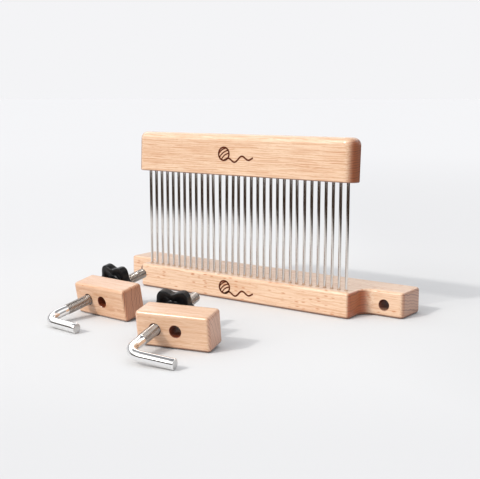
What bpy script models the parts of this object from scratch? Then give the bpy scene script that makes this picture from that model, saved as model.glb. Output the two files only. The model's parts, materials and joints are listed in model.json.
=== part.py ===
"""Blending hackle: a row of steel tines in a beech base, a beech cover bar over the tips,
and two table clamps lying loose in front of it.

Metres. +X runs along the row of tines, +Y to the back, +Z up. The origin is on the table,
straight below the middle of the row.
"""
import math

import bmesh
import bpy
from mathutils import Matrix, Vector

GAP = 0.0003                     # between pieces that touch

# ---- row of tines
TINE_COUNT = 32
TINE_PITCH = 0.0075
TINE_RADIUS = 0.0014
TINE_SIDES = 10
TINE_IN_BASE = 0.018
TINE_IN_COVER = 0.012
TINE_POINT = 0.009               # length of the tapered point
TIP_RADIUS = 0.0003
TINE_LEAN = {12: -0.0011, 14: 0.0009, 15: 0.0011, 25: -0.0010}   # bent tines: shift at the cover, along X

# ---- base bar
BASE_HEIGHT = 0.02415
BASE_HALF_LENGTH = 0.1632
NOSE_HALF_LENGTH = 0.124         # the wide middle that stands in front of the ears
NOSE_FRONT = -0.0097
EAR_FRONT = 0.019
BASE_BACK = 0.0548
CORNER_RADIUS = 0.004
COVE_RADIUS = 0.012              # hollow corner between nose and ear
BASE_EDGE = 0.0025
EAR_HOLE_X = 0.1443
EAR_HOLE_Z = 0.0109
EAR_HOLE_RADIUS = 0.005

# ---- cover bar
COVER_HALF_LENGTH = 0.1255
COVER_HALF_DEPTH = 0.011
COVER_BOTTOM = 0.1216            # height of the underside's middle
COVER_HEIGHT = 0.0396
COVER_LEAN = 2.7                 # degrees; the loose cover leans back on the tines
COVER_END_RADIUS = 0.010
COVER_TOP_RADIUS = 0.0068
COVER_BOTTOM_EDGE = 0.0012
GROOVE_MIDDLE = -0.0003          # the tines stand a little to the front in the leaning groove
GROOVE_HALF_WIDTH = 0.0024
GROOVE_HALF_LENGTH = 0.1185

# ---- clamps, in a frame at the block's lower front left corner, +Y along the rod
BLOCK_LENGTH = 0.0647
BLOCK_DEPTH = 0.0238
BLOCK_HEIGHT = 0.0295
BLOCK_EDGE = 0.0025
ROD_HOLE_X = 0.0173
SPARE_HOLE_X = 0.0353
HOLE_Z = 0.0153
CLAMP_HOLE_RADIUS = 0.005
SHANK_RADIUS = 0.0043
THREAD_RADIUS = 0.00465          # a rolled thread stands a little proud of its shank
THREAD_LENGTH = 0.0985
THREAD_STEP = 0.0006
ROD_LENGTH = 0.122               # from the bend's corner to the threaded end
LEG_LENGTH = 0.0412              # from the bend's corner to the tip
BEND_RADIUS = 0.0135
KNOB_LOBES = 6
KNOB_RADIUS = 0.0223
KNOB_DIP = 0.0048                # how far a valley lies inside the lobes
KNOB_THICKNESS = 0.0085
KNOB_EDGE = 0.0018
HUB_RADIUS = 0.0105
HUB_LENGTH = 0.0076              # hub between the star and the block
INSERT_RADIUS = 0.0066

# the two clamps: place of the corner, yaw, tilt of the rod, block to bend distance, knob turn
CLAMPS = {
    "left_clamp": (Vector((-0.0932, -0.1286, -0.0004)), -3.2, 10.9, 0.0501, 3.0),
    "right_clamp": (Vector((0.0266, -0.1795, -0.0001)), 13.3, 8.3, 0.0463, 0.5),
}


def clear_scene():
    for thing in list(bpy.data.objects):
        bpy.data.objects.remove(thing, do_unlink=True)


def new_collection(name):
    group = bpy.data.collections.new(name)
    bpy.context.scene.collection.children.link(group)
    return group


def material(name, colour, roughness, metallic=0.0):
    made = bpy.data.materials.new(name)
    made.use_nodes = True
    shader = made.node_tree.nodes["Principled BSDF"]
    shader.inputs["Base Color"].default_value = (*colour, 1.0)
    shader.inputs["Roughness"].default_value = roughness
    shader.inputs["Metallic"].default_value = metallic
    return made


def add_object(name, mesh, group, finish=None):
    made = bpy.data.objects.new(name, mesh)
    group.objects.link(made)
    if finish:
        mesh.materials.clear()
        mesh.materials.append(finish)
    return made


def mesh_from(bm, name):
    mesh = bpy.data.meshes.new(name)
    bm.to_mesh(mesh)
    bm.free()
    return mesh


def cutter(name, mesh):
    made = add_object(name, mesh, cutters)
    made.hide_render = True
    made.display_type = "WIRE"
    return made


def boolean(target, tool, operation="DIFFERENCE"):
    step = target.modifiers.new(operation.lower(), "BOOLEAN")
    step.operation = operation
    step.object = tool
    step.solver = "EXACT"


def bevel(target, width, segments):
    step = target.modifiers.new("rounded_edges", "BEVEL")
    step.width = width
    step.segments = segments
    step.limit_method = "ANGLE"
    step.angle_limit = math.radians(40)
    step.use_clamp_overlap = False


def evaluated_mesh(thing):
    bpy.context.view_layer.update()
    graph = bpy.context.evaluated_depsgraph_get()
    return bpy.data.meshes.new_from_object(thing.evaluated_get(graph))


def box_mesh(low, high, name):
    bm = bmesh.new()
    size = high - low
    place = Matrix.Translation((low + high) / 2) @ Matrix.Diagonal((*size, 1.0))
    bmesh.ops.create_cube(bm, size=1.0, matrix=place)
    return mesh_from(bm, name)


def add_cylinder(bm, centre, radius, length, axis, sides):
    turn = Vector((0, 0, 1)).rotation_difference(axis).to_matrix().to_4x4()
    bmesh.ops.create_cone(bm, cap_ends=True, segments=sides, radius1=radius, radius2=radius,
                          depth=length, matrix=Matrix.Translation(centre) @ turn)


def cylinder_mesh(centre, radius, length, axis, sides, name):
    bm = bmesh.new()
    add_cylinder(bm, centre, radius, length, axis, sides)
    return mesh_from(bm, name)


def arc(centre, radius, start, end, steps):
    """Points on a circle from one angle to another, in degrees."""
    points = []
    for step in range(steps + 1):
        angle = math.radians(start + (end - start) * step / steps)
        points.append((centre[0] + radius * math.cos(angle), centre[1] + radius * math.sin(angle)))
    return points


def plate_mesh(outline, thickness, name):
    """A flat outline in XY, as one face, extruded evenly above and below z = 0."""
    bm = bmesh.new()
    face = bm.faces.new([bm.verts.new((x, y, -thickness / 2)) for x, y in outline])
    raised = bmesh.ops.extrude_face_region(bm, geom=[face])["geom"]
    lifted = [item for item in raised if isinstance(item, bmesh.types.BMVert)]
    bmesh.ops.translate(bm, vec=(0, 0, thickness), verts=lifted)
    bmesh.ops.recalc_face_normals(bm, faces=bm.faces)
    return mesh_from(bm, name)


def turned_object(name, profile, sides, group, finish, ring=False):
    """A profile of (radius, height) points, outer side downwards, turned round Z.

    A ring's profile closes on itself; any other starts and ends on the axis.
    """
    mesh = bpy.data.meshes.new(name)
    edges = [(i, i + 1) for i in range(len(profile) - 1)]
    if ring:
        edges.append((len(profile) - 1, 0))
    mesh.from_pydata([(radius, 0, height) for radius, height in profile], edges, [])
    made = add_object(name, mesh, group, finish)
    turn = made.modifiers.new("turn", "SCREW")
    turn.steps = sides
    turn.render_steps = sides
    turn.use_merge_vertices = True
    turn.merge_threshold = 0.00001
    turn.use_normal_calculate = False
    return made


# ---------------------------------------------------------------- base bar

def base_outline():
    """One side from the middle of the back, round the ear, to the middle of the nose."""
    r = CORNER_RADIUS
    right = arc((BASE_HALF_LENGTH - r, BASE_BACK - r), r, 90, 0, 4)
    right += arc((BASE_HALF_LENGTH - r, EAR_FRONT + r), r, 0, -90, 4)
    cove = (NOSE_HALF_LENGTH + COVE_RADIUS, EAR_FRONT - COVE_RADIUS)
    right += arc(cove, COVE_RADIUS, 90, 180, 8)
    right += arc((NOSE_HALF_LENGTH - r, NOSE_FRONT + r), r, 0, -90, 4)
    left = [(-x, y) for x, y in reversed(right)]
    return right + left


def make_base(group, finish):
    base = add_object("base_bar", plate_mesh(base_outline(), BASE_HEIGHT, "base_bar"), group, finish)
    base.location = (0, 0, BASE_HEIGHT / 2)
    bevel(base, BASE_EDGE, 3)
    bm = bmesh.new()
    top = BASE_HEIGHT + 0.002
    bottom = BASE_HEIGHT - TINE_IN_BASE - GAP
    for number in range(TINE_COUNT):
        centre = Vector((tine_x(number), 0, (top + bottom) / 2))
        add_cylinder(bm, centre, TINE_RADIUS + GAP, top - bottom, Vector((0, 0, 1)), TINE_SIDES)
    boolean(base, cutter("tine_holes", mesh_from(bm, "tine_holes")))
    bm = bmesh.new()
    for side in (-1, 1):
        centre = Vector((side * EAR_HOLE_X, (EAR_FRONT + BASE_BACK) / 2, EAR_HOLE_Z))
        length = BASE_BACK - EAR_FRONT + 0.01
        add_cylinder(bm, centre, EAR_HOLE_RADIUS, length, Vector((0, 1, 0)), 24)
    boolean(base, cutter("ear_holes", mesh_from(bm, "ear_holes")))
    return base


# ---------------------------------------------------------------- tines

def tine_x(number):
    return (number - (TINE_COUNT - 1) / 2) * TINE_PITCH


def make_tines(group, finish):
    """Pointed steel pins; one in eight or so is slightly bent, as on a used tool."""
    foot = -TINE_IN_BASE / 2
    tip = COVER_BOTTOM + TINE_IN_COVER - BASE_HEIGHT + TINE_IN_BASE / 2
    profile = [(0, tip), (TIP_RADIUS, tip), (TINE_RADIUS, tip - TINE_POINT), (TINE_RADIUS, foot), (0, foot)]
    pattern = turned_object("tine_pattern", profile, TINE_SIDES, cutters, finish)
    mesh = evaluated_mesh(pattern)
    bpy.data.objects.remove(pattern, do_unlink=True)
    mesh.shade_smooth()
    mesh.set_sharp_from_angle(angle=math.radians(40))
    rise = COVER_BOTTOM - BASE_HEIGHT + TINE_IN_BASE / 2
    for number in range(TINE_COUNT):
        tine = add_object(f"tine_{number + 1:02d}", mesh, group)
        tine.location = (tine_x(number), 0, BASE_HEIGHT - TINE_IN_BASE / 2)
        tine.rotation_euler = (0, math.atan2(TINE_LEAN.get(number + 1, 0.0), rise), 0)


# ---------------------------------------------------------------- cover bar

def make_cover(group, finish):
    """A bar with its origin in the middle of its underside."""
    low = Vector((-COVER_HALF_LENGTH, -COVER_HALF_DEPTH, 0))
    high = Vector((COVER_HALF_LENGTH, COVER_HALF_DEPTH, COVER_HEIGHT))
    mesh = box_mesh(low, high, "tine_cover")
    bm = bmesh.new()
    bm.from_mesh(mesh)

    def edges_where(test):
        return [edge for edge in bm.edges if test(edge.verts[0].co, edge.verts[1].co)]

    upright = edges_where(lambda a, b: abs(a.z - b.z) > 0.01)
    bmesh.ops.bevel(bm, geom=upright, offset=COVER_END_RADIUS, segments=6, profile=0.5, affect="EDGES")
    top = edges_where(lambda a, b: min(a.z, b.z) > COVER_HEIGHT - 0.0001)
    bmesh.ops.bevel(bm, geom=top, offset=COVER_TOP_RADIUS, segments=5, profile=0.5, affect="EDGES")
    bottom = edges_where(lambda a, b: max(a.z, b.z) < 0.0001)
    bmesh.ops.bevel(bm, geom=bottom, offset=COVER_BOTTOM_EDGE, segments=2, profile=0.5, affect="EDGES")
    bm.to_mesh(mesh)
    bm.free()
    low = Vector((-GROOVE_HALF_LENGTH, GROOVE_MIDDLE - GROOVE_HALF_WIDTH, -0.002))
    high = Vector((GROOVE_HALF_LENGTH, GROOVE_MIDDLE + GROOVE_HALF_WIDTH, TINE_IN_COVER + GAP))
    cover = add_object("tine_cover", mesh, group, finish)
    groove = cutter("tine_groove", box_mesh(low, high, "tine_groove"))
    for thing in (cover, groove):
        thing.location = (0, 0, COVER_BOTTOM)
        thing.rotation_euler = (math.radians(-COVER_LEAN), 0, 0)
    boolean(cover, groove)


# ---------------------------------------------------------------- clamps

def star_outline():
    points = []
    steps = KNOB_LOBES * 9
    for step in range(steps):
        angle = 2 * math.pi * step / steps
        radius = KNOB_RADIUS - KNOB_DIP * (1 - math.cos(KNOB_LOBES * angle)) / 2
        points.append((radius * math.cos(angle), radius * math.sin(angle)))
    return points


def put(thing, parent, place, turn=(0.0, 0.0, 0.0)):
    thing.parent = parent
    thing.location = place
    thing.rotation_euler = turn


def make_rod(name, group, finish, frame, axis_place, end_y, spin):
    """An L of round steel. Its long leg lies on local Y, its short leg leaves the bend along +X."""
    corner_y = end_y - ROD_LENGTH
    thread_y = end_y - THREAD_LENGTH
    wide = THREAD_RADIUS / SHANK_RADIUS
    points = [(0.0, end_y, wide), (0.0, thread_y, wide), (0.0, thread_y - THREAD_STEP, 1.0)]
    bend = arc((BEND_RADIUS, corner_y + BEND_RADIUS), BEND_RADIUS, 180, 270, 6)
    points += [(x, y, 1.0) for x, y in bend] + [(LEG_LENGTH, corner_y, 1.0)]
    curve = bpy.data.curves.new(name, "CURVE")
    curve.dimensions = "3D"
    curve.bevel_depth = SHANK_RADIUS
    curve.bevel_resolution = 4
    curve.use_fill_caps = True
    curve.materials.append(finish)
    spline = curve.splines.new("POLY")
    spline.points.add(len(points) - 1)
    for point, (x, y, width) in zip(spline.points, points):
        point.co = (x, y, 0.0, 1.0)
        point.radius = width
    rod = bpy.data.objects.new(name, curve)
    group.objects.link(rod)
    put(rod, frame, axis_place, (0.0, -spin, 0.0))


def make_block(name, group, finish, frame, axis_place):
    """Beech block with the rod's hole and a spare one, its origin on the rod's axis."""
    low = Vector((-ROD_HOLE_X, 0, -HOLE_Z))
    high = low + Vector((BLOCK_LENGTH, BLOCK_DEPTH, BLOCK_HEIGHT))
    block = add_object(name, box_mesh(low, high, name), group, finish)
    bevel(block, BLOCK_EDGE, 3)
    put(block, frame, axis_place)
    bm = bmesh.new()
    for x in (0.0, SPARE_HOLE_X - ROD_HOLE_X):
        centre = Vector((x, BLOCK_DEPTH / 2, 0))
        add_cylinder(bm, centre, CLAMP_HOLE_RADIUS, BLOCK_DEPTH + 0.01, Vector((0, 1, 0)), 24)
    holes = cutter(name + "_holes", mesh_from(bm, name + "_holes"))
    put(holes, frame, axis_place)
    boolean(block, holes)


def make_knob(name, group, plastic, brass, frame, axis_place, turn):
    """Star knob whose hub faces the block, with a threaded bush moulded in."""
    hub_face = BLOCK_DEPTH + GAP
    star_front = hub_face + HUB_LENGTH
    back = star_front + KNOB_THICKNESS
    onto_rod = (math.pi / 2, turn, 0.0)
    knob = add_object(name + "_knob", plate_mesh(star_outline(), KNOB_THICKNESS, name + "_knob"), group, plastic)
    centre = axis_place + Vector((0, (star_front + back) / 2, 0))
    put(knob, frame, centre, onto_rod)
    bevel(knob, KNOB_EDGE, 2)
    half = KNOB_THICKNESS / 2
    hub_mesh = cylinder_mesh(Vector((0, 0, HUB_LENGTH / 2 + half / 2)), HUB_RADIUS, HUB_LENGTH + half,
                             Vector((0, 0, 1)), 24, name + "_hub")
    hub = cutter(name + "_hub", hub_mesh)
    put(hub, frame, centre, onto_rod)
    boolean(knob, hub, "UNION")
    reach = HUB_LENGTH + KNOB_THICKNESS
    bore_mesh = cylinder_mesh(Vector((0, 0, HUB_LENGTH / 2)), INSERT_RADIUS + GAP, reach + 0.01,
                              Vector((0, 0, 1)), 20, name + "_bore")
    bore = cutter(name + "_bore", bore_mesh)
    put(bore, frame, centre, onto_rod)
    boolean(knob, bore)

    inner = THREAD_RADIUS + GAP
    wall = [(inner, 0.0), (INSERT_RADIUS, 0.0), (INSERT_RADIUS, -reach), (inner, -reach)]
    insert = turned_object(name + "_insert", wall, 16, group, brass, ring=True)
    put(insert, frame, axis_place + Vector((0, back, 0)), (-math.pi / 2, 0.0, 0.0))


def make_clamp(name, place, yaw, tilt, to_bend, knob_turn, group, finishes):
    """The clamp lies on the table on the tip of its leg, its block's lower edge and its knob."""
    tilt = math.radians(tilt)
    frame = bpy.data.objects.new(name, None)
    group.objects.link(frame)
    frame.location = place
    frame.rotation_euler = (tilt, 0.0, math.radians(yaw))
    axis_place = Vector((ROD_HOLE_X, 0, HOLE_Z))
    bend_height = place.z + HOLE_Z * math.cos(tilt) - to_bend * math.sin(tilt)
    spin = math.asin((SHANK_RADIUS - bend_height) / (LEG_LENGTH * math.cos(tilt)))
    wood, steel, plastic, brass = finishes
    make_rod(name + "_rod", group, steel, frame, axis_place, ROD_LENGTH - to_bend, spin)
    make_block(name + "_block", group, wood, frame, axis_place)
    make_knob(name, group, plastic, brass, frame, axis_place, math.radians(knob_turn))


clear_scene()
parts = new_collection("blending_hackle")
cutters = new_collection("cutters")
beech = material("beech", (0.72, 0.50, 0.33), 0.45)
steel = material("steel", (0.62, 0.61, 0.60), 0.25, 1.0)
plastic = material("black_plastic", (0.02, 0.02, 0.022), 0.35)
brass = material("insert_brass", (0.60, 0.46, 0.22), 0.35, 1.0)

make_base(parts, beech)
make_tines(parts, steel)
make_cover(parts, beech)
for clamp, (place, yaw, tilt, to_bend, knob_turn) in CLAMPS.items():
    make_clamp(clamp, place, yaw, tilt, to_bend, knob_turn, parts, (beech, steel, plastic, brass))
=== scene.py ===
"""Looks of the blending hackle: beech base and cover, steel tines, two table clamps.

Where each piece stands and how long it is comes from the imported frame; the named sizes below add the
roundings, holes and sections that the frame's boxes don't give.
Lengths are in metres, +X along the tines, +Y to the back, +Z up. Textures are laid out in millimetres.
"""
import json
import math

import bmesh
import bpy
from mathutils import Matrix, Vector


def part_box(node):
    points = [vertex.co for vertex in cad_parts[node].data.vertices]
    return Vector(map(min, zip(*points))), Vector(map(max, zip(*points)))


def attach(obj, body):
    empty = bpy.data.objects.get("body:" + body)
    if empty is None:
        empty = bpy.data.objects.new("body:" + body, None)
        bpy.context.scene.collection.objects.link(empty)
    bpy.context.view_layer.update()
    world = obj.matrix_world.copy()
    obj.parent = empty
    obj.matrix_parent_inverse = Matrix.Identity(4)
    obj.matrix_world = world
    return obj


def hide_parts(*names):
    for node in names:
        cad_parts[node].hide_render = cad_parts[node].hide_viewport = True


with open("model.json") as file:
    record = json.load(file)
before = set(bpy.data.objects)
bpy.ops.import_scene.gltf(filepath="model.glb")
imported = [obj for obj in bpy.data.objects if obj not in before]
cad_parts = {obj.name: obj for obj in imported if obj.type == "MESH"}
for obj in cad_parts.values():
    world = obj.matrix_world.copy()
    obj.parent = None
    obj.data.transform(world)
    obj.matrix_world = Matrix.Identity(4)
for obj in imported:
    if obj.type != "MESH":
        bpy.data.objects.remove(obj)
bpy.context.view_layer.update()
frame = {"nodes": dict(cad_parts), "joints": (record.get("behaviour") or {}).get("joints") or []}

MM = 1000                        # millimetres in a metre
Y_AXIS = Vector((0, 1, 0))
Z_AXIS = Vector((0, 0, 1))

# ---- shapes that the frame's boxes don't give
NOSE_HALF_LENGTH = 0.124
EAR_FRONT = 0.019
CORNER_RADIUS = 0.004            # the base's upright edges
COVE_RADIUS = 0.012
BASE_EDGE = 0.0029
EAR_HOLE = Vector((0.1443, 0.0, 0.0109))
HOLE_RADIUS = 0.005
HOLE_CHAMFER = 0.00035
TINE_HOLE_RADIUS = 0.0018
TINE_HOLE_DEPTH = 0.0182

COVER_BOTTOM = 0.1216            # height of the underside's middle, which the cover leans about
COVER_LEAN = 2.7                 # degrees to the back
COVER_END_RADIUS = 0.010
COVER_TOP_RADIUS = 0.0068
COVER_BOTTOM_EDGE = 0.0012
GROOVE_MIDDLE = -0.0003
GROOVE_HALF_WIDTH = 0.0024
GROOVE_HALF_LENGTH = 0.1185
GROOVE_DEPTH = 0.0123

TINE_RADIUS = 0.0014
TINE_FOOT_CHAMFER = 0.0002
TINE_POINT = 0.009               # length of the tapered point
TINE_TAPER = 0.82                # share of the radius lost at the very tip
TINE_SIDES = 24
TINE_HOLE_SIDES = 20

BLOCK_EDGE = 0.003
SPARE_HOLE = 0.018               # from the rod's hole, along the block
SHANK_RADIUS = 0.0043
THREAD_RADIUS = 0.00465          # over the crests
THREAD_ROOT = 0.00385
THREAD_PITCH = 0.0015875         # 16 turns to the inch
THREAD_START = 0.0235            # from the bend's corner
THREAD_STEPS = 8                 # rings of points in each turn of the thread
THREAD_END_DROP = 0.0002         # from the root down to the rim of the rod's end
BEND_RADIUS = 0.0135
ROD_SIDES = 32
ROD_END_EDGE = 0.0005
KNOB_LOBES = 6
KNOB_DIP = 0.0048                # how far the outline falls in between two lobes
HUB_RADIUS = 0.0105
HUB_LENGTH = 0.0076
BUSH_RADIUS = 0.0066
BUSH_EDGE = 0.0004
CLEARANCE = 0.0002               # between knob and bush, and between bush and rod

ROUND_SIDES = 48                 # of clamp holes, bushes, the yarn ball and the dark cloth
OVERSHOOT = 0.002                # how far a cutter reaches out of the face it enters
BEVEL_ANGLE = 40                 # degrees; blunter edges aren't rounded

# ---- generic burnt mark: a ball of yarn and its loose end
MARK_BALL = 0.0062
MARK_STROKE = 0.0017
MARK_TAIL = 0.028
MARK_SLANT = 35                  # degrees, of the strands
MARK_STRANDS = (-0.48, 0.0, 0.48)     # their distances from the ball's middle, in radii
MARK_BOW = 0.22                  # how far a strand bends out, in radii
MARK_WAVE = 0.42                 # half the height of the tail's waves, in radii
MARK_CLIMB = 0.55                # how far the tail climbs to its end, in radii
MARK_PROUD = 0.00006
COVER_MARK = Vector((0.0, 0.0, 0.0205))
BASE_MARK = Vector((0.0, 0.0, 0.0125))

# ---- tones of the materials
BEECH_PALE = (0.79, 0.575, 0.405)
BEECH_DEEP = (0.60, 0.325, 0.180)
BEECH_LATE = (0.50, 0.235, 0.11)      # rings and dashes of late wood
BEECH_FLECK = (0.50, 0.185, 0.07)
BEECH_PORES_AND_UNDER_SHADE = (0.17, 0.05, 0.018)     # painted shade on edges and faces that look down; also the dark pores at the ends
BEECH_COVE_SHADE = (0.37, 0.083, 0.017)   # painted shade on the ends of the nose, with the coves
BEECH_LINE = (0.09, 0.025, 0.010)     # rings where they are cut across
BEECH_HOLE_SHADE = (0.17, 0.026, 0.005)   # painted shade on the walls of the drilled holes
TINE_STEEL = (0.80, 0.75, 0.705)
ROD_STEEL = (0.89, 0.885, 0.88)
THREAD_TONE = (0.40, 0.35, 0.31)
SAWN_TONE = (0.66, 0.65, 0.64)
PLASTIC_BLACK = (0.002, 0.002, 0.0025)
PLASTIC_FILM = (0.007, 0.007, 0.008)
BRASS_BRIGHT = (0.66, 0.50, 0.24)
BRASS_DULL = (0.50, 0.36, 0.16)
CHAR_BLACK = (0.060, 0.012, 0.005)
CHAR_BROWN = (0.15, 0.035, 0.014)
# painted light on the floor: lightest round the object, as under the lamps
PAPER_NEAR = (0.676, 0.676, 0.676)
PAPER_MIDDLE = (0.655, 0.655, 0.660)
PAPER_FAR = (0.668, 0.668, 0.674)
PAPER_TOOTH = (0.70, 0.70, 0.70)
PAPER_DIMMING = 0.945            # to the right and in front, where the lamps fall off
PAPER_TURN = 36.0                # degrees; those two directions, turned from +X and -Y to the left

# ---- how fast the wood's figures change along X, Y and Z; all are long along the grain, which is X
RING_WAVE = (0.011, 0.03, 0.03)
RING_RIPPLE = (0.055, 0.16, 0.16)
RING_BREAKS = (0.045, 0.35, 0.35)
FLECK_CELLS = (0.13, 0.50, 0.50)
FIBRES = (0.05, 2.4, 2.4)
STREAKS = (0.020, 0.70, 0.70)
DASHES = (0.16, 1.7, 1.7)
CLOUDS = (0.010, 0.04, 0.04)
PORES = (0.12, 4.6, 4.6)

# ---- camera
CAMERA_PLACE = Vector((0.4939, -0.6815, 0.1951))
CAMERA_TURN = 36.05              # degrees to the left of +Y
CAMERA_DIP = 9.14                # degrees below level
CAMERA_LENS = 65.8725            # mm
SENSOR_WIDTH = 36.0              # mm

# ---- light
KEY_TOWARDS = Vector((-0.29, -0.73, 0.62))
KEY_COLOUR = (1.0, 0.975, 0.94)
KEYS = {"key": (1.28, 3.6), "key_halo": (1.12, 34.0)}     # power, degrees across
BACKDROP = (0.905, 0.905, 0.921)
ROOM_LIGHT = (0.810, 0.824, 0.847)
ROOM_RIGHT = (0.55, 0.55, 0.56)
ROOM_TOP = (1.02, 1.04, 1.08)

# ---- the room that shiny surfaces mirror; its bands are sines of the angle above level
MIRROR_SOFTBOX = (1.25, 1.24, 1.23)
MIRROR_BACK = (0.78, 0.78, 0.79)
MIRROR_BEYOND = (1.95, 1.95, 1.98)    # behind and higher up, for the tops of the blocks
MIRROR_EDGE = (0.10, 0.10, 0.10)      # a dark strip behind, which outlines the rods
MIRROR_TOP = (0.30, 0.30, 0.31)
MIRROR_RIGHT = (0.35, 0.34, 0.34)
MIRROR_LOW = (0.040, 0.024, 0.015)
MIRROR_LAMP = (5.0, 4.9, 4.8)
SOFTBOX_BAND = (0.20, 0.42, 0.84, 0.96)   # begins, full, still full, gone
EDGE_BAND = (0.25, 0.29, 0.38, 0.42)
BEYOND_RISE = (0.35, 0.45)            # begins, full
TOP_RISE = (0.5, 0.7)
TOP_RISE_BEHIND = (0.64, 0.76)

# ---- dark cloth on the table, for reflections only
FLAG_PLACE = (-0.12, -0.08)
FLAG_CLEAR = 0.41                # distance from that place at which the cloth begins to show
FLAG_DARK = 0.82                 # and at which it is dark
FLAG_REACH = 8.0
FLAG_HEIGHT = 0.0006
FLOOR_HALF = 200.0

TINES = sorted(int(name[5:]) for name in frame["nodes"] if name[:5] == "tine_" and name[5:].isdigit())


# ------------------------------------------------------------------ small helpers

def link(thing):
    bpy.context.scene.collection.objects.link(thing)
    return thing


def new_object(name, bm, place=None):
    """An object made from a bmesh, at a matrix."""
    mesh = bpy.data.meshes.new(name)
    bm.to_mesh(mesh)
    bm.free()
    made = link(bpy.data.objects.new(name, mesh))
    if place is not None:
        made.matrix_world = place
    return made


def smooth(thing, angle=32):
    """Smooth shading, with a sharp line at every edge sharper than the angle in degrees."""
    thing.data.shade_smooth()
    thing.data.set_sharp_from_angle(angle=math.radians(angle))


def apply_modifiers(thing):
    bpy.context.view_layer.update()
    graph = bpy.context.evaluated_depsgraph_get()
    mesh = bpy.data.meshes.new_from_object(thing.evaluated_get(graph))
    thing.modifiers.clear()
    old = thing.data
    thing.data = mesh
    bpy.data.meshes.remove(old)


def weighted_normals(thing):
    """Large flat faces keep their flat shading next to a rounded edge."""
    step = thing.modifiers.new("weighted_normals", "WEIGHTED_NORMAL")
    step.keep_sharp = True
    step.weight = 80
    apply_modifiers(thing)


def cut(thing, cutters):
    """Take the cutters' shapes out of an object and delete them."""
    for tool in cutters:
        step = thing.modifiers.new("cut", "BOOLEAN")
        step.operation = "DIFFERENCE"
        step.solver = "EXACT"
        step.object = tool
    apply_modifiers(thing)
    for tool in cutters:
        bpy.data.objects.remove(tool, do_unlink=True)


def bevel(thing, width, segments):
    step = thing.modifiers.new("rounding", "BEVEL")
    step.width = width
    step.segments = segments
    step.limit_method = "ANGLE"
    step.angle_limit = math.radians(BEVEL_ANGLE)
    step.use_clamp_overlap = False
    apply_modifiers(thing)


def arc(centre, radius, start, end, steps):
    """Flat points from one angle in degrees to another."""
    points = []
    for step in range(steps + 1):
        angle = math.radians(start + (end - start) * step / steps)
        points.append((centre[0] + radius * math.cos(angle), centre[1] + radius * math.sin(angle)))
    return points


def skin(bm, rings, loop):
    """Faces between rings of vertices; a loop joins the last ring to the first, else both ends are capped."""
    pairs = list(zip(rings, rings[1:]))
    if loop:
        pairs.append((rings[-1], rings[0]))
    for low, high in pairs:
        count = len(low)
        for i in range(count):
            j = (i + 1) % count
            bm.faces.new((low[i], low[j], high[j], high[i]))
    if not loop:
        bm.faces.new(list(reversed(rings[0])))
        bm.faces.new(rings[-1])


def skin_object(name, rows, place=None, loop=False):
    """An object with a skin over rows of points, each row a closed ring."""
    bm = bmesh.new()
    skin(bm, [[bm.verts.new(point) for point in row] for row in rows], loop)
    bmesh.ops.recalc_face_normals(bm, faces=bm.faces)
    return new_object(name, bm, place)


def lathe(name, profile, sides, place=None, loop=False):
    """A profile of (radius, height) points, turned round local Z."""
    rows = []
    for radius, height in profile:
        angles = [2 * math.pi * i / sides for i in range(sides)]
        rows.append([Vector((radius * math.cos(a), radius * math.sin(a), height)) for a in angles])
    return skin_object(name, rows, place, loop)


def drill(centre, direction, length):
    """A cutter for a clamp hole of that length, which leaves a small chamfer at both mouths."""
    half = length / 2
    mouth = HOLE_RADIUS + HOLE_CHAMFER + OVERSHOOT
    profile = [(mouth, -half - OVERSHOOT), (HOLE_RADIUS, -half + HOLE_CHAMFER),
               (HOLE_RADIUS, half - HOLE_CHAMFER), (mouth, half + OVERSHOOT)]
    turn = Z_AXIS.rotation_difference(direction).to_matrix().to_4x4()
    return lathe("cutter", profile, ROUND_SIDES, Matrix.Translation(centre) @ turn)


def box_object(name, low, high, place=None):
    bm = bmesh.new()
    fit = Matrix.Translation((low + high) / 2) @ Matrix.Diagonal((*(high - low), 1))
    bmesh.ops.create_cube(bm, size=1.0, matrix=fit)
    return new_object(name, bm, place)


def local_points(node, place):
    """The CAD node's corners, in a frame of its own."""
    back = place.inverted()
    return [back @ vertex.co for vertex in frame["nodes"][node].data.vertices]


def extent(points):
    low = Vector([min(p[i] for p in points) for i in range(3)])
    high = Vector([max(p[i] for p in points) for i in range(3)])
    return low, high


def finish_piece(thing, finish, body, slot, *nodes):
    """Material, body, a material slot's name, which is not used, and the CAD nodes that the piece stands for.
    """
    thing.data.materials.clear()
    thing.data.materials.append(finish)
    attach(thing, body)
    if nodes:
        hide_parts(*nodes)


# ------------------------------------------------------------------ materials

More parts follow.
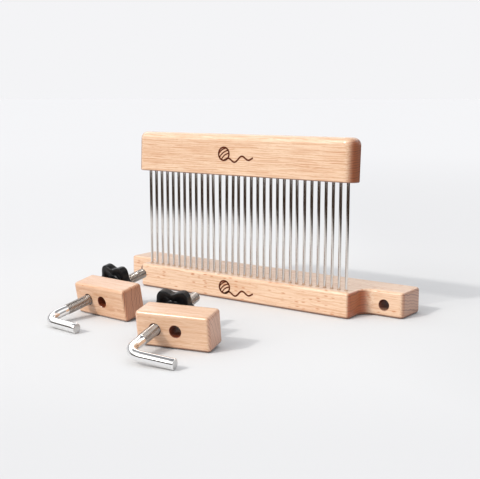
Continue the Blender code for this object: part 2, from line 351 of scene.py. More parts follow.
class Nodes:
    """A short way to write a node tree. A value may be a number, a tuple or another node's output."""

    def __init__(self, tree):
        self.tree = tree

    def feed(self, socket, value):
        if isinstance(value, bpy.types.NodeSocket):
            self.tree.links.new(value, socket)
        elif isinstance(value, tuple) and len(value) == 3 and socket.type == "RGBA":
            socket.default_value = (*value, 1.0)
        else:
            socket.default_value = value

    def node(self, kind, **settings):
        made = self.tree.nodes.new("ShaderNode" + kind)
        for key, value in settings.items():
            setattr(made, key, value)
        return made

    def math(self, operation, *values):
        made = self.node("Math", operation=operation)
        for socket, value in zip(made.inputs, values):
            self.feed(socket, value)
        return made.outputs[0]

    def times(self, first, second):
        return self.math("MULTIPLY", first, second)

    def line(self, value, gain, offset):
        return self.math("MULTIPLY_ADD", value, gain, offset)

    def hypot(self, first, second):
        return self.math("SQRT", self.math("ADD", self.times(first, first), self.times(second, second)))

    def between(self, value, low, high):
        """0 at low, 1 at high, smooth in between, level outside; low may be the larger."""
        made = self.node("MapRange", interpolation_type="SMOOTHSTEP")
        for name, given in (("Value", value), ("From Min", low), ("From Max", high)):
            self.feed(made.inputs[name], given)
        return made.outputs[0]

    def band(self, value, begins, full, still_full, gone):
        """0 before begins, 1 from full to still_full, 0 again from gone on."""
        return self.times(self.between(value, begins, full), self.between(value, gone, still_full))

    def mix(self, amount, first, second):
        made = self.node("Mix", data_type="RGBA")
        self.feed(made.inputs["Factor"], amount)
        colours = [socket for socket in made.inputs if socket.type == "RGBA"]
        self.feed(colours[0], first)
        self.feed(colours[1], second)
        return next(socket for socket in made.outputs if socket.type == "RGBA")

    def layer(self, tone, where, strength, colour):
        """A colour laid over a tone, with that strength where the mask is 1."""
        return self.mix(self.times(where, strength), tone, colour)

    def vector(self, operation, *values):
        made = self.node("VectorMath", operation=operation)
        for socket, value in zip(made.inputs, values):
            self.feed(socket, value)
        return made

    def scaled(self, vector, scale):
        return self.vector("MULTIPLY", vector, scale).outputs["Vector"]

    def length(self, vector):
        return self.vector("LENGTH", vector).outputs["Value"]

    def dot(self, vector, direction):
        return self.vector("DOT_PRODUCT", vector, direction).outputs["Value"]

    def split(self, vector):
        parts = self.node("SeparateXYZ")
        self.feed(parts.inputs[0], vector)
        return tuple(parts.outputs)

    def noise(self, vector, detail=2.0, roughness=0.5):
        made = self.node("TexNoise", noise_dimensions="3D")
        self.feed(made.inputs["Vector"], vector)
        for name, value in (("Scale", 1.0), ("Detail", detail), ("Roughness", roughness)):
            made.inputs[name].default_value = value
        return made.outputs[0]

    def bump(self, height, distance, strength, below=None):
        made = self.node("Bump")
        made.inputs["Strength"].default_value = strength
        made.inputs["Distance"].default_value = distance
        self.feed(made.inputs["Height"], height)
        if below is not None:
            self.feed(made.inputs["Normal"], below)
        return made.outputs[0]

    def object_mm(self, shift=(0, 0, 0)):
        """The piece's own coordinates, in millimetres, shifted so that no two pieces match."""
        place = self.node("TexCoord").outputs["Object"]
        return self.vector("MULTIPLY_ADD", place, (MM, MM, MM), shift).outputs["Vector"]


class Shading(Nodes):
    """A new material's nodes around its Principled shader."""

    def __init__(self, name):
        self.material = bpy.data.materials.new(name)
        self.material.use_nodes = True
        super().__init__(self.material.node_tree)
        self.shader = self.tree.nodes["Principled BSDF"]

    def set(self, name, value):
        self.feed(self.shader.inputs[name], value)


def ring_pattern(s, place, pith, ring_width):
    """Masks of the dark late wood, once broken up along the grain and once whole.

    The rings are wavy shells round the pith, a line along X at (y, z) in mm. Each is darker towards its
    outside, and some are bolder than others.
    """
    _, y, z = s.split(place)
    distance = s.hypot(s.math("SUBTRACT", y, pith[0]), s.math("SUBTRACT", z, pith[1]))
    wave = s.noise(s.scaled(place, RING_WAVE))
    ripple = s.noise(s.scaled(place, RING_RIPPLE))
    wavy = s.line(ripple, 2.2, s.line(wave, 10.0, distance))
    rings = s.math("DIVIDE", wavy, ring_width)
    pick = s.node("TexWhiteNoise", noise_dimensions="1D")
    s.feed(pick.inputs["W"], s.math("FLOOR", rings))
    bold = s.line(pick.outputs[0], 0.7, 0.3)
    late = s.times(s.band(s.math("FRACT", rings), 0.30, 0.88, 0.88, 1.0), bold)
    breaks = s.noise(s.scaled(place, RING_BREAKS), roughness=0.6)
    return s.times(late, s.between(breaks, 0.34, 0.60)), late


def ray_flecks(s, place, density):
    """Short dark lens shapes along the grain, one to a cell. Density is the share of the cells used."""
    cells = s.node("TexVoronoi", feature="F1", voronoi_dimensions="3D")
    s.feed(cells.inputs["Vector"], s.scaled(place, FLECK_CELLS))
    cells.inputs["Scale"].default_value = 1.0
    chance = s.node("SeparateColor")
    s.feed(chance.inputs[0], cells.outputs["Color"])
    core = s.between(cells.outputs["Distance"], 0.44, 0.12)
    return s.times(core, s.between(chance.outputs[0], 1.0 - density, 1.06 - density))


def beech(name, shift, fineness, depth, pith, ring_width, rings, flecks, end_tone, holes=(), hole_shade=0.0,
          hollow=None):
    """Oiled beech with its grain along X.

    Fineness scales the figure down; pith and ring_width are measured in the scaled figure. Depth is how
    much deeper the tone is all over, rings how strong the rings are and flecks how many flecks there are,
    each from 0 to 1. End_tone is the colour of the fibres cut across at the ends, and end faces nearer the
    middle than hollow, in mm, get painted shade on top, for the shade in the coves. Holes are (x, z) in mm,
    drilled along Y, and their walls get painted shade, as strong as the share given after them. Faces that
    look down get painted shade as well.
    """
    s = Shading(name)
    x, _, z = s.split(s.object_mm())
    place = s.scaled(s.object_mm(shift), (fineness, fineness, fineness))
    late, whole = ring_pattern(s, place, pith, ring_width)
    fibre = s.noise(s.scaled(place, FIBRES), detail=3.0, roughness=0.65)
    streak = s.noise(s.scaled(place, STREAKS), detail=3.0, roughness=0.6)
    dashes = s.noise(s.scaled(place, DASHES), roughness=0.55)
    cloud = s.noise(s.scaled(place, CLOUDS))
    pores = s.noise(s.scaled(place, PORES), roughness=0.6)
    fleck = ray_flecks(s, place, flecks)
    along, _, upward = s.split(s.node("TexCoord").outputs["Normal"])
    end = s.between(s.math("ABSOLUTE", along), 0.30, 0.88)
    # mask for painted shade on faces that look down, where little light falls
    under = s.between(s.times(upward, -1.0), 0.05, 0.55)

    tone = tuple(Vector(BEECH_PALE).lerp(Vector(BEECH_DEEP), depth))
    tone = s.layer(tone, s.between(cloud, 0.30, 0.75), 0.30, BEECH_DEEP)
    tone = s.layer(tone, s.between(streak, 0.45, 0.63), 0.62, BEECH_DEEP)
    tone = s.layer(tone, late, rings, BEECH_LATE)
    tone = s.layer(tone, s.between(fibre, 0.46, 0.68), 0.42, BEECH_DEEP)
    tone = s.layer(tone, s.between(dashes, 0.56, 0.72), 0.45, BEECH_LATE)
    tone = s.layer(tone, fleck, 0.9, BEECH_FLECK)
    cut_across = s.layer(end_tone, s.between(pores, 0.42, 0.62), 0.20, BEECH_PORES_AND_UNDER_SHADE)
    # painted shade in the coves and on the nose's ends
    if hollow is not None:
        inside = s.between(s.math("ABSOLUTE", x), hollow + 3.0, hollow - 3.0)
        cut_across = s.layer(cut_across, inside, 0.95, BEECH_COVE_SHADE)
    cut_across = s.layer(cut_across, whole, 0.75, BEECH_LINE)
    tone = s.mix(end, tone, cut_across)
    # painted shade on the faces that look down
    tone = s.layer(tone, under, 0.85, BEECH_PORES_AND_UNDER_SHADE)
    # painted shade on the walls of the drilled holes
    for hole_x, hole_z in holes:
        reach = s.hypot(s.math("SUBTRACT", x, hole_x), s.math("SUBTRACT", z, hole_z))
        wall = s.between(reach, HOLE_RADIUS * MM + 0.55, HOLE_RADIUS * MM + 0.15)
        tone = s.layer(tone, wall, hole_shade, BEECH_HOLE_SHADE)
    s.set("Base Color", tone)

    s.set("Roughness", s.line(end, 0.16, s.line(fibre, 0.14, 0.34)))
    s.set("Specular IOR Level", 0.5)
    s.set("Coat Weight", 0.8)
    s.set("Coat Roughness", s.line(streak, 0.14, 0.16))
    relief = s.times(s.line(late, 0.3, fibre), s.line(end, -0.85, 1.0))
    s.set("Normal", s.bump(relief, 0.00006, 0.5, s.bump(pores, 0.00004, 0.3)))
    s.set("Coat Normal", s.bump(relief, 0.00003, 0.4))
    return s.material


def steel(name, colour, axis, streak, thread_from=None, sawn=None):
    """Drawn steel with a faint cloudy film; its fine streaks along one axis vary the gloss by streak.

    From Y = thread_from in mm on, a rolled thread is duller. Sawn is the direction of a matt cut face and
    its distance from the origin in mm.
    """
    s = Shading(name)
    place = s.object_mm()
    stretch = tuple(0.05 if i == axis else 7.0 for i in range(3))
    drawn = s.noise(s.scaled(place, stretch), detail=3.0, roughness=0.7)
    film = s.noise(s.scaled(place, (0.22, 0.22, 0.22)), detail=3.0)
    dull = tuple(channel * 0.80 for channel in colour)
    tone = s.layer(colour, s.between(film, 0.40, 0.75), 0.20, dull)
    rough = s.line(drawn, streak, s.line(film, 0.05, 0.05))
    if thread_from is not None:
        _, y, _ = s.split(place)
        threaded = s.between(y, thread_from - 0.3, thread_from + 0.6)
        tone = s.layer(tone, threaded, 0.8, THREAD_TONE)
        rough = s.line(threaded, 0.13, rough)
    if sawn is not None:
        direction, distance = sawn
        face = s.between(s.dot(place, direction), distance - 0.12, distance - 0.04)
        tone = s.mix(face, tone, SAWN_TONE)
        rough = s.line(face, 0.40, rough)
    s.set("Metallic", 1.0)
    s.set("Base Color", tone)
    s.set("Roughness", rough)
    s.set("Normal", s.bump(drawn, 0.000002, 0.3))
    return s.material


def black_plastic():
    """Moulded plastic: a fine spark-eroded grit under a faint cloudy film."""
    s = Shading("black_plastic")
    place = s.object_mm()
    grit = s.noise(s.scaled(place, (5.0, 5.0, 5.0)), detail=3.0, roughness=0.6)
    cloud = s.noise(s.scaled(place, (0.25, 0.25, 0.25)))
    s.set("Base Color", s.mix(cloud, PLASTIC_BLACK, PLASTIC_FILM))
    s.set("Roughness", s.line(grit, 0.16, s.line(cloud, 0.10, 0.17)))
    s.set("Specular IOR Level", 0.26)
    s.set("Normal", s.bump(grit, 0.00005, 0.45))
    return s.material


def brass():
    """Brass with fine tool streaks and a dull film in patches."""
    s = Shading("brass_bush")
    place = s.object_mm()
    streaks = s.noise(s.scaled(place, (0.3, 9.0, 0.3)))
    film = s.noise(s.scaled(place, (0.9, 0.9, 0.9)), detail=3.0)
    s.set("Metallic", 1.0)
    s.set("Base Color", s.mix(film, BRASS_BRIGHT, BRASS_DULL))
    s.set("Roughness", s.line(streaks, 0.15, s.line(film, 0.12, 0.20)))
    s.set("Normal", s.bump(streaks, 0.00002, 0.5))
    return s.material


def burnt():
    """Wood scorched by a branding iron."""
    s = Shading("burnt_line")
    char = s.noise(s.scaled(s.object_mm(), (0.6, 3.0, 3.0)), detail=4.0, roughness=0.7)
    s.set("Base Color", s.mix(s.between(char, 0.35, 0.70), CHAR_BLACK, CHAR_BROWN))
    s.set("Roughness", s.line(char, 0.25, 0.55))
    s.set("Specular IOR Level", 0.12)
    s.set("Normal", s.bump(char, 0.00008, 0.6))
    return s.material


def floor_paper():
    """Pale matt paper with painted light: lightest round the object, as in the lamps' pool, and dimmed a
    little to its right and in front of it, as where the lamps fall off.
    """
    s = Shading("studio_floor")
    place = s.object_mm()
    reach = s.length(place)
    tone = s.mix(s.between(reach, 120.0, 500.0), PAPER_NEAR, PAPER_MIDDLE)
    tone = s.mix(s.between(reach, 600.0, 2500.0), tone, PAPER_FAR)
    sine = math.sin(math.radians(PAPER_TURN))
    cosine = math.cos(math.radians(PAPER_TURN))
    x, y, _ = s.split(place)
    aside = s.line(x, cosine, s.times(y, sine))
    ahead = s.line(x, sine, s.times(y, -cosine))
    dim = s.math("MAXIMUM", s.between(aside, 60.0, 220.0), s.times(s.between(ahead, 200.0, 380.0), 0.7))
    near = s.between(reach, 2500.0, 500.0)
    dimmed = s.vector("SCALE", tone)
    s.feed(dimmed.inputs["Scale"], s.line(s.times(dim, near), PAPER_DIMMING - 1.0, 1.0))
    tooth = s.noise(s.scaled(place, (0.8, 0.8, 0.8)))
    s.set("Base Color", s.layer(dimmed.outputs[0], tooth, 0.02, PAPER_TOOTH))
    s.set("Roughness", 0.9)
    s.set("Specular IOR Level", 0.0)
    return s.material


EAR_HOLES = [(side * EAR_HOLE.x * MM, EAR_HOLE.z * MM) for side in (-1, 1)]
BLOCK_HOLES = [(0.0, 0.0), (SPARE_HOLE * MM, 0.0)]
NOSE_END = NOSE_HALF_LENGTH * MM + 8.0     # reach of the painted cove shade: it takes in the nose's ends and coves, but not the ears' ends

base_wood = beech(
    "beech_base", shift=(37, 11, 5), fineness=1.0, depth=0.0, pith=(14, -150), ring_width=2.6, rings=0.60,
    flecks=0.28, end_tone=(0.48, 0.25, 0.155), holes=EAR_HOLES, hole_shade=0.6, hollow=NOSE_END)
cover_wood = beech(
    "beech_cover", shift=(-61, 7, 3), fineness=1.15, depth=0.0, pith=(30, -300), ring_width=2.4, rings=1.0,
    flecks=0.03, end_tone=(0.31, 0.080, 0.018))
left_wood = beech(
    "beech_left", shift=(210, 31, -8), fineness=1.5, depth=0.45, pith=(-260, 40), ring_width=2.6, rings=0.8,
    flecks=0.06, end_tone=(0.56, 0.23, 0.11), holes=BLOCK_HOLES, hole_shade=0.95)
right_wood = beech(
    "beech_right", shift=(-140, 19, 14), fineness=1.5, depth=0.25, pith=(-240, -70), ring_width=2.6,
    rings=0.9, flecks=0.04, end_tone=(0.64, 0.35, 0.23), holes=BLOCK_HOLES, hole_shade=0.95)
block_wood = {"left_clamp": left_wood, "right_clamp": right_wood}
tine_steel = steel("tine_steel", TINE_STEEL, axis=2, streak=0.05)
knob_plastic = black_plastic()
bush_brass = brass()
burnt_line = burnt()


# ------------------------------------------------------------------ base bar

def base_outline(half_length, front, back):
    """Clockwise from above: from the right ear's back corner to the nose, then the same mirrored."""
    r = CORNER_RADIUS
    right = arc((half_length - r, back - r), r, 90, 0, 8)
    right += arc((half_length - r, EAR_FRONT + r), r, 0, -90, 8)
    right += arc((NOSE_HALF_LENGTH + COVE_RADIUS, EAR_FRONT - COVE_RADIUS), COVE_RADIUS, 90, 180, 20)
    right += arc((NOSE_HALF_LENGTH - r, front + r), r, 0, -90, 8)
    return right + [(-x, y) for x, y in reversed(right)]


def tine_line(number):
    """Foot and tip of a tine's axis, read from its CAD node."""
    points = [vertex.co for vertex in frame["nodes"][f"tine_{number:02d}"].data.vertices]
    same_level = 0.0005
    ends = []
    for level in (min(p.z for p in points), max(p.z for p in points)):
        near = [p for p in points if abs(p.z - level) < same_level]
        ends.append(sum(near, Vector()) / len(near))
    return ends


def tine_drills(top):
    """One cutter with a pin for every tine, placed where the tine enters the base's top."""
    bm = bmesh.new()
    depth = TINE_HOLE_DEPTH + OVERSHOOT
    for number in TINES:
        foot, tip = tine_line(number)
        entry = foot.lerp(tip, (top - foot.z) / (tip.z - foot.z))
        centre = Matrix.Translation((entry.x, entry.y, top + OVERSHOOT - depth / 2))
        bmesh.ops.create_cone(bm, cap_ends=True, segments=TINE_HOLE_SIDES, radius1=TINE_HOLE_RADIUS,
                              radius2=TINE_HOLE_RADIUS, depth=depth, matrix=centre)
    return new_object("tine_drill", bm)


def make_base():
    low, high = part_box("base_bar")
    outline = base_outline(high.x, low.y, high.y)
    bm = bmesh.new()
    face = bm.faces.new([bm.verts.new((x, y, low.z)) for x, y in outline])
    raised = bmesh.ops.extrude_face_region(bm, geom=[face])["geom"]
    lifted = [item for item in raised if isinstance(item, bmesh.types.BMVert)]
    bmesh.ops.translate(bm, vec=(0, 0, high.z - low.z), verts=lifted)
    bmesh.ops.recalc_face_normals(bm, faces=bm.faces)
    base = new_object("base_bar_oiled", bm)
    bevel(base, BASE_EDGE, 6)
    tools = []
    for side in (-1, 1):
        centre = Vector((side * EAR_HOLE.x, (EAR_FRONT + high.y) / 2, EAR_HOLE.z))
        tools.append(drill(centre, Y_AXIS, high.y - EAR_FRONT))
    tools.append(tine_drills(high.z))
    cut(base, tools)
    smooth(base)
    weighted_normals(base)
    finish_piece(base, base_wood, "base", "beech", "base_bar")


# ------------------------------------------------------------------ tines

def make_tines():
    """Straight wires, each with a rounded, tapered point, leaning as its CAD node leans."""
    r = TINE_RADIUS
    for number in TINES:
        foot, tip = tine_line(number)
        length = (tip - foot).length
        profile = [(r - TINE_FOOT_CHAMFER, 0.0), (r, TINE_FOOT_CHAMFER), (r, length * 0.5),
                   (r, length - TINE_POINT)]
        for step in range(1, 6):
            share = step / 5
            profile.append((r * (1 - TINE_TAPER * share ** 1.3), length - TINE_POINT * (1 - share)))
        turn = Z_AXIS.rotation_difference(tip - foot).to_matrix().to_4x4()
        tine = lathe(f"steel_tine_{number:02d}", profile, TINE_SIDES,
                     Matrix.Translation(foot) @ turn)
        smooth(tine, 40)
        finish_piece(tine, tine_steel, "base", "tine_steel", f"tine_{number:02d}")


# ------------------------------------------------------------------ cover bar

def cover_frame():
    """Origin in the middle of the underside, +Z up along the leaning front face."""
    return Matrix.Translation((0, 0, COVER_BOTTOM)) @ Matrix.Rotation(math.radians(-COVER_LEAN), 4, "X")


def make_cover():
    place = cover_frame()
    low, high = extent(local_points("tine_cover", place))
    cover = box_object("tine_cover_oiled", low, high, place)
    bm = bmesh.new()
    bm.from_mesh(cover.data)

    def round_edges(test, radius, segments):
        """Round the edges whose two end heights pass the test."""
        chosen = [edge for edge in bm.edges if test(edge.verts[0].co.z, edge.verts[1].co.z)]
        bmesh.ops.bevel(bm, geom=chosen, offset=radius, segments=segments, profile=0.5, affect="EDGES")

    tiny = 0.0001
    upright = 0.01
    round_edges(lambda a, b: abs(a - b) > upright, COVER_END_RADIUS, 14)
    round_edges(lambda a, b: min(a, b) > high.z - tiny, COVER_TOP_RADIUS, 10)
    round_edges(lambda a, b: max(a, b) < low.z + tiny, COVER_BOTTOM_EDGE, 4)
    bm.to_mesh(cover.data)
    bm.free()
    groove_low = Vector((-GROOVE_HALF_LENGTH, GROOVE_MIDDLE - GROOVE_HALF_WIDTH, low.z - OVERSHOOT))
    groove_high = Vector((GROOVE_HALF_LENGTH, GROOVE_MIDDLE + GROOVE_HALF_WIDTH, low.z + GROOVE_DEPTH))
    cut(cover, [box_object("groove", groove_low, groove_high, place)])
    smooth(cover)
    weighted_normals(cover)
    finish_piece(cover, cover_wood, "cover", "beech", "tine_cover")


# ------------------------------------------------------------------ burnt marks

def ribbon(bm, path, width, front):
    """A thin flat strip along a path of (x, z) points, its outer face MARK_PROUD in front of y = front."""
    rings = []
    inside = Vector((0, 2 * MARK_PROUD, 0))
    for i, (x, z) in enumerate(path):
        before = path[max(i - 1, 0)]
        after = path[min(i + 1, len(path) - 1)]
        way = Vector((after[0] - before[0], 0, after[1] - before[1])).normalized()
        aside = Vector((-way.z, 0, way.x)) * width / 2
        middle = Vector((x, front - MARK_PROUD, z))
        corners = (middle - aside, middle + aside, middle + aside + inside, middle - aside + inside)
        rings.append([bm.verts.new(corner) for corner in corners])
    skin(bm, rings, loop=False)


def yarn_strand(ball, aside):
    """A bowed, slanting line of points across the ball."""
    turn = Matrix.Rotation(math.radians(MARK_SLANT), 2)
    half = MARK_BALL * math.sqrt(1 - aside * aside)
    strand = []
    for step in range(13):
        share = step / 6 - 1
        point = turn @ Vector((half * share, MARK_BALL * (aside + MARK_BOW * (1 - share * share))))
        strand.append((ball[0] + point.x, ball[1] + point.y))
    return strand


def yarn_tail(ball):
    """Two waves from the ball's lowest point, rising slowly, flat at both ends."""
    r = MARK_BALL
    steps = 60
    tail = []
    for step in range(steps + 1):
        share = step / steps
        swing = math.sin(share * math.radians(720)) * r * MARK_WAVE * math.sin(share * math.pi) ** 0.5
        tail.append((ball[0] + share * (MARK_TAIL + r), ball[1] - r + r * MARK_CLIMB * share + swing))
    return tail


def make_mark(name, middle, front, body, place=None):
    """A ball of yarn, wound with slanting strands, and its loose end running off in waves."""
    bm = bmesh.new()
    ball = (middle.x - MARK_TAIL / 2, middle.z)
    ribbon(bm, arc(ball, MARK_BALL, -90, 270, ROUND_SIDES), MARK_STROKE, front)
    for aside in MARK_STRANDS:
        ribbon(bm, yarn_strand(ball, aside), MARK_STROKE * 0.75, front)
    ribbon(bm, yarn_tail(ball), MARK_STROKE, front)
    bmesh.ops.recalc_face_normals(bm, faces=bm.faces)
    mark = new_object(name, bm, place)
    finish_piece(mark, burnt_line, body, "beech")


def make_marks():
    place = cover_frame()
    front = extent(local_points("tine_cover", place))[0].y
    make_mark("cover_mark", COVER_MARK, front, "cover", place)
    make_mark("base_mark", BASE_MARK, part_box("base_bar")[0].y, "base")


# ------------------------------------------------------------------ clamps

def clamp_frame(side):
    """Local X along the block, Y along the rod away from its bend, origin on the rod at the block's back."""
    turn = next(joint for joint in frame["joints"] if joint["name"] == side + "_knob_turn")
    along = Vector(turn["axis"]).normalized()
    across = along.cross(Z_AXIS).normalized()
    up = across.cross(along)
    place = Matrix((across, along, up)).transposed().to_4x4()
    place.translation = Vector(turn["pos_m"])
    return place


def make_block(side, place):
    low, high = extent(local_points(side + "_block", place))
    block = box_object(side + "_block_oiled", low, high, place)
    bevel(block, BLOCK_EDGE, 6)
    direction = place.to_3x3() @ Y_AXIS
    tools = []
    for x in (0.0, SPARE_HOLE):
        centre = place @ Vector((x, (low.y + high.y) / 2, 0))
        tools.append(drill(centre, direction, high.y - low.y))
    cut(block, tools)
    smooth(block)
    weighted_normals(block)
    finish_piece(block, block_wood[side], side + "_block", "beech", side + "_block")


def thread_radius(y, angle, start, end):
    """Radius of a rolled 3/8 inch thread, fading into the shank at its start and chamfered at its end."""
    phase = (y / THREAD_PITCH - angle / (2 * math.pi)) % 1.0
    ridge = min(1.0, max(0.0, 1.75 - abs(phase - 0.5) * 4.0))
    ridge = ridge * ridge * (3 - 2 * ridge)
    root = SHANK_RADIUS + (THREAD_ROOT - SHANK_RADIUS) * min(1.0, (y - start) / (1.5 * THREAD_PITCH))
    crest = SHANK_RADIUS + (THREAD_RADIUS - SHANK_RADIUS) * min(1.0, (y - start) / THREAD_PITCH)
    radius = root + (crest - root) * ridge
    chamfer = THREAD_ROOT - THREAD_END_DROP + (end - y)
    return min(radius, chamfer)


def make_rod(side, place):
    """An L: tip, short leg, bend, plain shank, then the thread with its real helix."""
    points = local_points(side + "_rod", place)
    low, high = extent(points)
    far = max(math.hypot(p.x, p.z) for p in points)
    tip = [p for p in points if math.hypot(p.x, p.z) > far * 0.97]
    middle = sum(tip, Vector()) / len(tip)
    leg = math.hypot(middle.x, middle.z)
    spin = math.atan2(middle.z, middle.x)
    out = Vector((math.cos(spin), 0, math.sin(spin)))
    sideways = Y_AXIS.cross(out)
    corner = low.y + SHANK_RADIUS
    corner_point = Y_AXIS * corner

    def ring_at(centre, forward, radius):
        """A ring round a centre; its vertices keep their angle through the bend."""
        other = sideways.cross(forward)
        made = []
        for i in range(ROD_SIDES):
            angle = 2 * math.pi * i / ROD_SIDES
            made.append(centre + (sideways * math.cos(angle) + other * math.sin(angle)) * radius)
        return made

    rows = []
    for back in (0.0, ROD_END_EDGE * 0.3, ROD_END_EDGE):
        radius = SHANK_RADIUS - ROD_END_EDGE + math.sqrt(back * ROD_END_EDGE)
        rows.append(ring_at(corner_point + out * (leg - back), -out, radius))
    for share in (0.15, 0.45, 0.75):
        rows.append(ring_at(corner_point + out * (leg + (BEND_RADIUS - leg) * share), -out, SHANK_RADIUS))
    centre = corner_point + (out + Y_AXIS) * BEND_RADIUS
    for step in range(15):
        angle = math.radians(90 * step / 14)
        outward = -Y_AXIS * math.cos(angle) - out * math.sin(angle)
        forward = Y_AXIS * math.sin(angle) - out * math.cos(angle)
        rows.append(ring_at(centre + outward * BEND_RADIUS, forward, SHANK_RADIUS))
    start = corner + THREAD_START
    for share in (0.3, 0.6, 1.0):
        y = corner + BEND_RADIUS + (THREAD_START - BEND_RADIUS) * share
        rows.append(ring_at(Y_AXIS * y, Y_AXIS, SHANK_RADIUS))
    count = int((high.y - start) / THREAD_PITCH * THREAD_STEPS)
    for step in range(1, count + 1):
        y = start + (high.y - start) * step / count
        row = ring_at(Y_AXIS * y, Y_AXIS, 1.0)
        for i, point in enumerate(row):
            radius = thread_radius(y, 2 * math.pi * i / ROD_SIDES, start, high.y)
            row[i] = Vector((point.x * radius, y, point.z * radius))
        rows.append(row)
    rod = skin_object(side + "_rod_steel", rows, place)
    smooth(rod, 35)
    bright = steel(side + "_rod_steel", ROD_STEEL, axis=1, streak=0.02, thread_from=start * MM,
                   sawn=(tuple(out), leg * MM))
    finish_piece(rod, bright, side + "_rod", "rod_steel", side + "_rod")


def make_knob(side, place):
    """Star knob: hub, dished face towards the block, rounded lobes, flat back with a rounded rim."""
    points = local_points(side + "_knob", place)
    low, high = extent(points)
    tip = max(points, key=lambda p: math.hypot(p.x, p.z))
    outer = math.hypot(tip.x, tip.z)
    lobe = math.atan2(tip.z, tip.x)
    face = low.y
    star = face + HUB_LENGTH
    back = high.y
    bore = BUSH_RADIUS + CLEARANCE
    # (inset from the star's outline or None, radius where round, height)
    profile = [
        (None, bore, face + 0.0004), (None, bore + 0.0004, face), (None, HUB_RADIUS - 0.0008, face),
        (None, HUB_RADIUS - 0.0002, face + 0.0002), (None, HUB_RADIUS, face + 0.0008),
        (None, HUB_RADIUS, star - 0.0004), (None, HUB_RADIUS + 0.0006, star + 0.0010),
        (None, HUB_RADIUS + 0.0016, star + 0.0016),
        (0.0052, None, star + 0.0004), (0.0042, None, star), (0.0010, None, star),
        (0.0004, None, star + 0.0002), (0.0001, None, star + 0.0005), (0.0, None, star + 0.0010),
        (0.0, None, (star + back) / 2), (0.0, None, back - 0.0016), (0.0002, None, back - 0.0009),
        (0.0007, None, back - 0.0003), (0.0014, None, back), (0.0042, None, back),
        (None, HUB_RADIUS, back), (None, bore + 0.0008, back), (None, bore, back - 0.0005),
    ]
    sides = KNOB_LOBES * 30
    rows = []
    for inset, radius, height in profile:
        row = []
        for i in range(sides):
            angle = lobe + 2 * math.pi * i / sides
            reach = radius
            if inset is not None:
                reach = outer - inset - KNOB_DIP * (1 - math.cos(KNOB_LOBES * (angle - lobe))) / 2
            row.append(Vector((reach * math.cos(angle), height, reach * math.sin(angle))))
        rows.append(row)
    knob = skin_object(side + "_star_knob", rows, place, loop=True)
    smooth(knob, 50)
    weighted_normals(knob)
    finish_piece(knob, knob_plastic, side + "_knob", "black_plastic", side + "_knob")


def make_bush(side, place):
    """The threaded bush moulded into the knob; its bore is left plain."""
    low, high = extent(local_points(side + "_insert", place))
    inner = THREAD_RADIUS + CLEARANCE
    profile = [(inner + BUSH_EDGE, low.y), (BUSH_RADIUS, low.y), (BUSH_RADIUS, high.y),
               (inner + BUSH_EDGE, high.y), (inner, high.y - BUSH_EDGE), (inner, low.y + BUSH_EDGE)]
    turn = Matrix.Rotation(math.radians(-90), 4, "X")
    bush = lathe(side + "_brass_bush", profile, ROUND_SIDES, place @ turn, loop=True)
    smooth(bush, 30)
    finish_piece(bush, bush_brass, side + "_insert", "brass", side + "_insert")


def make_clamp(side):
    place = clamp_frame(side)
    make_rod(side, place)
    make_block(side, place)
    make_knob(side, place)
    make_bush(side, place)


# ------------------------------------------------------------------ camera, floor and light

def make_camera():
    data = bpy.data.cameras.new("camera")
    data.sensor_width = SENSOR_WIDTH
    data.lens = CAMERA_LENS
    data.clip_start = 0.01
    data.clip_end = 1000
    camera = link(bpy.data.objects.new("camera", data))
    camera.location = CAMERA_PLACE
    camera.rotation_euler = (math.radians(90 - CAMERA_DIP), 0, math.radians(CAMERA_TURN))
    bpy.context.scene.camera = camera


def make_floor():
    bm = bmesh.new()
    bmesh.ops.create_grid(bm, x_segments=1, y_segments=1, size=FLOOR_HALF)
    floor = new_object("floor", bm)
    floor.data.materials.append(floor_paper())


def make_flag():
    """Dark cloth round the table. It shows only in reflections, never to the eye."""
    s = Shading("dark_cloth")
    s.tree.nodes.remove(s.shader)
    reach = s.length(s.node("TexCoord").outputs["Object"])
    clear = s.node("BsdfTransparent")
    black = s.node("Emission")
    s.feed(black.inputs["Color"], MIRROR_LOW)
    mixed = s.node("MixShader")
    s.feed(mixed.inputs[0], s.between(reach, FLAG_CLEAR, FLAG_DARK))
    s.feed(mixed.inputs[1], clear.outputs[0])
    s.feed(mixed.inputs[2], black.outputs[0])
    s.feed(s.tree.nodes["Material Output"].inputs["Surface"], mixed.outputs[0])
    bm = bmesh.new()
    bmesh.ops.create_circle(bm, cap_ends=True, radius=FLAG_REACH, segments=ROUND_SIDES)
    flag = new_object("dark_cloth", bm, Matrix.Translation((*FLAG_PLACE, FLAG_HEIGHT)))
    flag.data.materials.append(s.material)
    for sight in ("camera", "diffuse", "transmission", "shadow", "volume_scatter"):
        setattr(flag, "visible_" + sight, False)


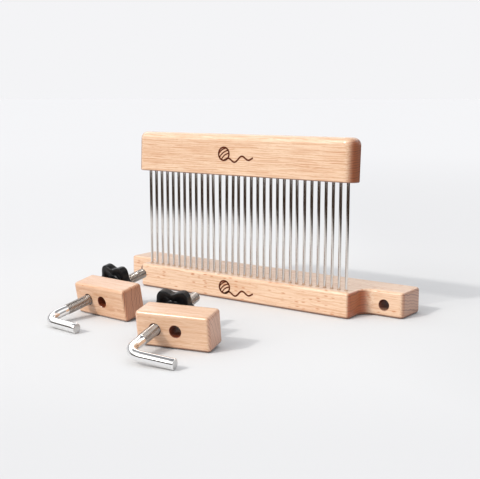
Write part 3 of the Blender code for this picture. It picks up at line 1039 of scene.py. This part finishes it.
def mirrored_room(s, sky, right, back, up):
    """In front a softbox over the dark; behind a pale wall with a dark strip, a bright band and a grey top.

    The right side is grey, and the lamp stands where the key light comes from.
    """
    front = s.line(right, 0.58, s.times(back, -0.80))
    facing = s.mix(s.between(up, *TOP_RISE), MIRROR_LOW, MIRROR_TOP)
    facing = s.mix(s.band(up, *SOFTBOX_BAND), facing, MIRROR_SOFTBOX)
    behind = s.mix(s.between(up, *BEYOND_RISE), MIRROR_BACK, MIRROR_BEYOND)
    behind = s.mix(s.band(up, *EDGE_BAND), behind, MIRROR_EDGE)
    behind = s.mix(s.between(up, *TOP_RISE_BEHIND), behind, MIRROR_TOP)
    room = s.mix(s.between(front, 0.05, -0.45), facing, behind)
    room = s.mix(s.between(right, 0.55, 0.95), room, MIRROR_RIGHT)
    lamp = s.between(s.dot(sky, KEY_TOWARDS.normalized()), 0.955, 0.985)
    return s.mix(lamp, room, MIRROR_LAMP)


def make_world():
    """An even pale room gives light, the eye sees a plain backdrop, and gloss mirrors a richer room."""
    world = bpy.data.worlds.new("studio")
    bpy.context.scene.world = world
    world.use_nodes = True
    s = Nodes(world.node_tree)
    sky = s.node("TexCoord").outputs["Generated"]
    right, back, up = s.split(sky)
    even = s.mix(s.between(right, 0.1, 0.9), ROOM_LIGHT, ROOM_RIGHT)
    even = s.mix(s.between(up, 0.45, 0.85), even, ROOM_TOP)
    sight = s.node("LightPath").outputs
    colour = s.mix(sight["Is Glossy Ray"], even, mirrored_room(s, sky, right, back, up))
    background = s.tree.nodes["Background"]
    s.feed(background.inputs["Color"], s.mix(sight["Is Camera Ray"], colour, BACKDROP))
    background.inputs["Strength"].default_value = 1.0


def make_key_lights():
    """One lamp with a crisp heart and a wide soft halo, so that far shadows come out paler than near ones.

    The halo lights, but isn't mirrored: the softbox stands there in reflections.
    """
    for name, (power, spread) in KEYS.items():
        data = bpy.data.lights.new(name, "SUN")
        data.energy = power
        data.angle = math.radians(spread)
        data.color = KEY_COLOUR
        key = link(bpy.data.objects.new(name, data))
        key.rotation_euler = KEY_TOWARDS.to_track_quat("Z", "Y").to_euler()
        key.visible_glossy = name == "key"


make_camera()
make_base()
make_tines()
make_cover()
make_marks()
for clamp in ("left_clamp", "right_clamp"):
    make_clamp(clamp)
make_floor()
make_flag()
make_world()
make_key_lights()
bpy.context.scene.view_settings.view_transform = "Standard"
